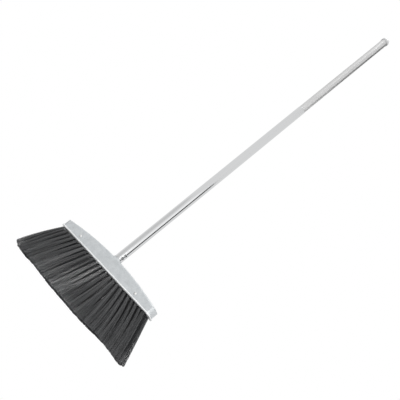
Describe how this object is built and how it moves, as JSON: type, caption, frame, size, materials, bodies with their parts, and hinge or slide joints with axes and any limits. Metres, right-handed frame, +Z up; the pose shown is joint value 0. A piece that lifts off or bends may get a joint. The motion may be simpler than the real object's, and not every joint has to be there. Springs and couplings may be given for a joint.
{
  "type": "lobby broom",
  "caption": "Upright lobby broom with a fanned bristle head under an arched grey cover and a telescopic chrome and satin tube handle.",
  "frame": {"origin": "centre of the trim plane at the bristle tips, on the handle's axis", "axes": "+Z up along the handle, +X along the head, -Y out of the head's front face"},
  "size_m": [0.3288, 0.0464, 0.9595],
  "materials": {
    "cover_plastic": "satin silver-grey",
    "board_plastic": "satin pale grey",
    "bristle": "charcoal synthetic filament with soft flagged tips",
    "anchor_steel": "bright wire",
    "screw_steel": "bright plated",
    "ferrule_plastic": "grey moulded",
    "chrome_tube": "polished chrome plate",
    "lock_nylon": "natural nylon",
    "core_plastic": "black moulded",
    "satin_tube": "satin anodised",
    "cap_plastic": "satin grey"
  },
  "bodies": {
    "head": {"cover_shell": "cover_plastic", "tuft_board": "board_plastic", "tuft_row_1": "bristle", "tuft_row_2": "bristle", "tuft_row_3": "bristle", "tuft_row_4": "bristle", "tuft_anchors": "anchor_steel", "cover_screws": "screw_steel", "handle_ferrule": "ferrule_plastic", "lower_tube": "chrome_tube"},
    "lock_ring": {"cam_ring": "lock_nylon"},
    "upper_handle": {"upper_tube": "satin_tube", "cam_core": "core_plastic", "end_cap": "cap_plastic"}
  },
  "joints": [
    {"name": "handle_slide", "type": "slide", "parent": "head", "child": "lock_ring", "axis": [0, 0, 1], "range_m": [-0.294, 0.095]},
    {"name": "handle_twist", "type": "hinge", "parent": "lock_ring", "child": "upper_handle", "pos_m": [0.00025, 0, 0.47], "axis": [0, 0, 1], "range_deg": [-45, 45]}
  ]
}
